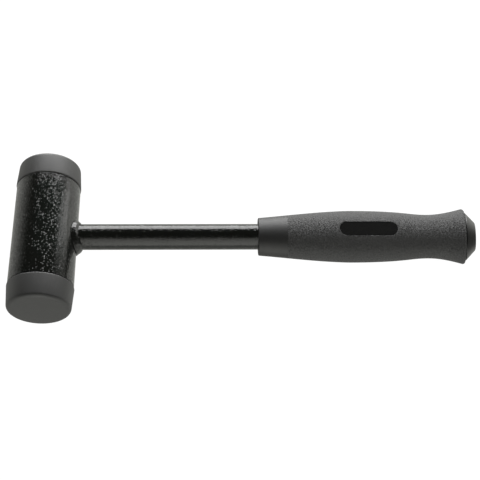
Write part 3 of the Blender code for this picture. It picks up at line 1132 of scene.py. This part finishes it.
    def oval_face(self, shape: Shape, inset: float = 0.0) -> bmesh.types.BMFace:
        """Add the plaque's flat oval, with straight sides and round ends.

        Args:
            shape: The shape that gets the face.
            inset: How far the oval stays inside the pocket's wall.

        Returns:
            The face, looking up.
        """
        width = self.plaque_width - 2 * inset
        straight = self.plaque_length - 2 * inset - width
        bmesh.ops.create_circle(shape, cap_ends=True, segments=self.oval_steps, radius=width / 2)
        half_step = Matrix.Rotation(math.pi / self.oval_steps, 3, "Z")
        bmesh.ops.rotate(shape, cent=(0.0, 0.0, 0.0), matrix=half_step, verts=shape.verts)
        for point in shape.verts:
            point.co.x += math.copysign(straight / 2, point.co.x)
        sides = [edge for edge in shape.edges if edge.calc_length() > straight]
        bmesh.ops.bisect_edges(shape, edges=sides, cuts=self.side_cuts)
        face = shape.faces[:][0]
        if face.normal.z < 0:
            face.normal_flip()
        return face

    def pocket(self) -> Shape:
        """Make the block that cuts the plaque's pocket.

        Returns:
            The block, with local Z up from its floor.
        """
        block = bmesh.new()
        floor = self.oval_face(block)
        raised = bmesh.ops.extrude_face_region(block, geom=[floor])["geom"]
        top = [part for part in raised if isinstance(part, bmesh.types.BMVert)]
        bmesh.ops.translate(block, vec=(0.0, 0.0, 2 * self.pocket_depth), verts=top)
        bmesh.ops.recalc_face_normals(block, faces=block.faces)
        return block

    def pocketed_cover(self) -> bpy.types.Object:
        """Cut the pocket out of the cover and break the pocket's rim.

        Returns:
            The cover in its place.
        """
        on_grip = self.placing.on_grip(self.turn)
        seat = Matrix.Translation((self.plaque_middle, 0.0, self.belly_half - self.pocket_depth))
        cover = settle(self.cover(), "soft_grip_cover", self.placing.on_handle(self.turn))
        cutter = settle(self.pocket(), "pocket_cutter", on_grip @ seat)
        cut = cover.modifiers.new("Pocket", "BOOLEAN")
        cut.operation = "DIFFERENCE"
        cut.object = cutter
        bpy.context.view_layer.update()
        evaluated = cover.evaluated_get(bpy.context.evaluated_depsgraph_get())
        whole = cover.data
        cover.data = bpy.data.meshes.new_from_object(evaluated)
        cover.modifiers.clear()
        bpy.data.objects.remove(cutter)
        bpy.data.meshes.remove(whole)
        self.break_rim(cover.data, on_grip.inverted())
        return cover

    def break_rim(self, mesh: bpy.types.Mesh, to_grip: Matrix) -> None:
        """Round the edge where the pocket meets the cover's skin.

        Args:
            mesh: The cover's mesh.
            to_grip: Carries the frame's points to the plaque's own axes.
        """
        shape = bmesh.new()
        shape.from_mesh(mesh)
        reach = self.plaque_length / 2 + self.fit
        rim = []
        for edge in shape.edges:
            middle = to_grip @ ((edge.verts[0].co + edge.verts[1].co) / 2)
            along = abs(middle.x - self.plaque_middle) < reach
            near = along and abs(middle.y) < self.plaque_width and middle.z > 0
            half = math.hypot(middle.y / self.oval_at(middle.x), middle.z)
            skin = half > self.half_at(middle.x) - self.fit
            if near and skin and edge.calc_face_angle(0.0) > SHARP_ANGLE:
                rim.append(edge)
        break_edges(shape, rim, self.pocket_edge, segments=3)
        shape.to_mesh(mesh)
        shape.free()

    def plaque(self) -> Shape:
        """Make the plaque: an oval inlay whose edge follows the grip's skin.

        Returns:
            The shape, with local X along the grip and local Z up.
        """
        shape = bmesh.new()
        top = self.oval_face(shape, self.fit)
        for point in top.verts:
            station = self.plaque_middle + point.co.x
            half = self.half_at(station) - self.plaque_recess
            point.co.z = math.sqrt(half**2 - (point.co.y / self.oval_at(station)) ** 2)
        # A wall down to the pocket's floor, and a base
        border = [edge for edge in shape.edges if edge.is_boundary]
        wall = bmesh.ops.extrude_edge_only(shape, edges=border)["geom"]
        for point in wall:
            if isinstance(point, bmesh.types.BMVert):
                point.co.z = self.belly_half - self.pocket_depth + self.fit
        base = [edge for edge in shape.edges if edge.is_boundary]
        bmesh.ops.edgeloop_fill(shape, edges=base)
        bmesh.ops.translate(shape, vec=(self.plaque_middle, 0.0, 0.0), verts=shape.verts)
        bmesh.ops.recalc_face_normals(shape, faces=shape.faces)
        return shape

    def build(self) -> None:
        """Make the core, the cover and the plaque."""
        core = settle(self.core(), "hard_grip_core", self.placing.on_handle(self.turn))
        install(core, "grip_core", self.plastic)
        install(self.pocketed_cover(), "grip_cover", self.rubber)
        plaque = settle(self.plaque(), "gloss_plaque", self.placing.on_grip(self.turn))
        install(plaque, "grip_plaque", self.gloss)


@dataclass(frozen=True)
class Softbox:
    """A soft rectangular light."""

    name: str
    centre: Triple
    aim: Triple
    width: float
    height: float
    power: float

    def hang(self) -> None:
        """Make the light and turn it to its aim."""
        light = bpy.data.lights.new(self.name, "AREA")
        light.shape = "RECTANGLE"
        light.size = self.width
        light.size_y = self.height
        light.energy = self.power
        lamp = linked(self.name, light)
        lamp.location = self.centre
        lamp.visible_camera = False
        towards = Vector(self.aim) - Vector(self.centre)
        lamp.rotation_euler = towards.to_track_quat("-Z", "Y").to_euler()


@dataclass
class Studio:
    """The camera, the pale floor and the soft light."""

    head: Vector
    focal_length_mm: float = 79.172
    sensor_mm: float = 36.0
    elevation: float = math.radians(59.516)
    azimuth: float = math.radians(-1.0)
    roll: float = math.radians(-0.061)
    distance: float = 0.8006
    target_from_head: Vector = field(default_factory=lambda: Vector((0.14821, -0.00528, 0.0)))
    floor_radius: float = 12.0
    floor_drop: float = 0.0003
    floor_steps: int = 96
    floor_shade: float = 0.06
    floor_variation: float = 0.01
    floor_cloud: float = 0.4
    floor_roughness: float = 0.9
    floor_glow: float = 1.0
    room: Bands = (
        (-90.0, 0.70), (-40.0, 0.65), (-14.0, 1.0),
        (5.0, 0.85), (17.0, 0.40), (30.0, 0.05),
    )
    front: Bands = (
        (-90.0, 0.55), (-26.0, 0.58), (-20.0, 1.95), (6.0, 1.90),
        (25.0, 1.65), (43.0, 0.95), (52.0, 0.25), (60.0, 0.05),
    )
    front_half_width: Pair = (0.45, 0.25)
    front_edge: Pair = (0.0, -0.2)
    right_gain: float = 0.30
    end_flag: Pair = (0.84, 0.96)
    end_shade: float = 0.20
    room_tint: Colour = (1.0, 1.005, 0.95)
    lights: tuple[Softbox, ...] = (
        Softbox(
            "back_softbox", centre=(0.30, 2.48, 1.27), aim=(0.30, 0.0, 1.18),
            width=3.24, height=2.06, power=148.0,
        ),
        Softbox(
            "side_kicker", centre=(0.60, 0.49, 0.25), aim=(-0.152, 0.0, 0.05),
            width=0.15, height=0.50, power=0.52,
        ),
    )

    def camera(self) -> None:
        """Set the camera at the photograph's angle."""
        down = Matrix.Rotation(math.pi / 2 - self.elevation, 4, "X")
        axes = Matrix.Rotation(self.azimuth, 4, "Z") @ down @ Matrix.Rotation(self.roll, 4, "Z")
        lens = bpy.data.cameras.new("photo_camera")
        lens.lens = self.focal_length_mm
        lens.sensor_width = self.sensor_mm
        camera = linked("photo_camera", lens)
        stand = self.head + self.target_from_head + axes.col[2].xyz * self.distance
        camera.matrix_world = Matrix.Translation(stand) @ axes
        bpy.context.scene.camera = camera

    def floor(self) -> None:
        """Lay a wide pale floor just under the hammer."""
        shape = bmesh.new()
        bmesh.ops.create_circle(
            shape, cap_ends=True, segments=self.floor_steps, radius=self.floor_radius
        )
        floor = settle(shape, "pale_floor", Matrix.Translation((0.0, 0.0, -self.floor_drop)))
        shader = Shader("pale_floor_finish")
        dark = (self.floor_shade,) * 3
        light = (self.floor_shade + self.floor_variation,) * 3
        shader.vary_colour(shader.noise(self.floor_cloud, detail=2.0), dark, light)
        glow = {"Emission Color": (1.0, 1.0, 1.0, 1.0), "Emission Strength": self.floor_glow}
        shader.keep_even({"Roughness": self.floor_roughness, **glow})
        floor.data.materials.append(shader.material)
        floor.visible_glossy = False

    def banded(
        self, sky: Nodes, height: Socket, bands: Bands, strength: Socket | float = 1.0
    ) -> Socket:
        """Add a glow that goes by the elevation.

        Args:
            sky: The world's nodes.
            height: The direction's height, 0 to 1.
            bands: The elevations in degrees, each with its light.
            strength: A factor on the light.

        Returns:
            The glow.
        """
        ramp = sky.node("ShaderNodeValToRGB", {0: height})
        stops = ramp.color_ramp.elements
        while len(stops) < len(bands):
            stops.new(0.5)
        for stop, (elevation, light) in zip(stops, bands):
            stop.position = (math.sin(math.radians(elevation)) + 1) / 2
            stop.color = (*(light * part for part in self.room_tint), 1.0)
        inputs = {"Color": ramp.outputs["Color"], "Strength": strength}
        return sky.node("ShaderNodeBackground", inputs).outputs[0]

    def surroundings(self) -> None:
        """Light the room low down, with a wide soft panel towards the camera and a dark ceiling."""
        world = bpy.data.worlds.new("studio")
        bpy.context.scene.world = world
        sky = Nodes(world)
        towards = sky.node("ShaderNodeTexCoord", {}).outputs["Generated"]
        right, back, up = sky.parts(towards)
        whole, share = (-1.0, 1.0), (0.0, 1.0)
        height = sky.span(up, whole, share)
        sides = sky.span(right, whole, (1 - self.right_gain, 1 + self.right_gain))
        flag = sky.span(right, self.end_flag, (1.0, self.end_shade))
        around = self.banded(sky, height, self.room, sky.math("MULTIPLY", sides, flag))
        panel = self.banded(sky, height, self.front)
        across = sky.span(sky.math("ABSOLUTE", right), self.front_half_width, share)
        ahead = sky.span(back, self.front_edge, share)
        within = sky.math("MULTIPLY", across, ahead)
        mixed = sky.node("ShaderNodeMixShader", {0: within, 1: around, 2: panel}).outputs[0]
        sky.tree.links.new(mixed, sky.tree.nodes["World Output"].inputs["Surface"])

    def build(self) -> None:
        """Set up the camera, the floor and the light."""
        bpy.context.scene.view_settings.view_transform = "Standard"
        self.camera()
        self.floor()
        self.surroundings()
        for light in self.lights:
            light.hang()


def main() -> None:
    """Build the hammer's looks and the studio around it."""
    logging.basicConfig(level=logging.INFO, format="%(message)s")
    placing = Placing.from_frame()
    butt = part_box("grip_core")[1].x
    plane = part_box("rear_face")[1].y
    paint = HammerPaint(
        Slot.PAINT, dark=(0.0050, 0.0057, 0.0046), light=(0.0070, 0.0077, 0.0065),
        smooth=0.10, rough=0.14,
    )
    nylon = FaceNylon(
        Slot.NYLON, dark=(0.0130, 0.0131, 0.0125), light=(0.0190, 0.0191, 0.0183),
        smooth=0.53, rough=0.58, specular=0.88, centre=placing.head, striking_plane=plane,
    )
    steel = BareSteel(
        Slot.STEEL, dark=(0.42, 0.42, 0.43), light=(0.60, 0.60, 0.60), smooth=0.22, rough=0.38
    )
    plastic = HardPlastic(
        Slot.PLASTIC, dark=(0.003, 0.003, 0.0029), light=(0.005, 0.005, 0.0048),
        smooth=0.32, rough=0.56, specular=0.77, butt_x=butt,
    )
    rubber = GrainedRubber(
        Slot.RUBBER, dark=(0.0145, 0.0145, 0.0145), light=(0.0265, 0.0265, 0.0265),
        smooth=0.70, rough=0.78, specular=1.0,
    )
    gloss = GlossInlay(
        Slot.PLAQUE, dark=(0.010, 0.010, 0.010), light=(0.014, 0.014, 0.014),
        smooth=0.07, rough=0.14,
    )
    Head(placing, paint, nylon, steel).build()
    Shot(steel).build()
    Handle(placing, paint).build()
    Grip(placing, plastic, rubber, gloss).build()
    Studio(placing.head).build()


if __name__ == "__main__":
    main()
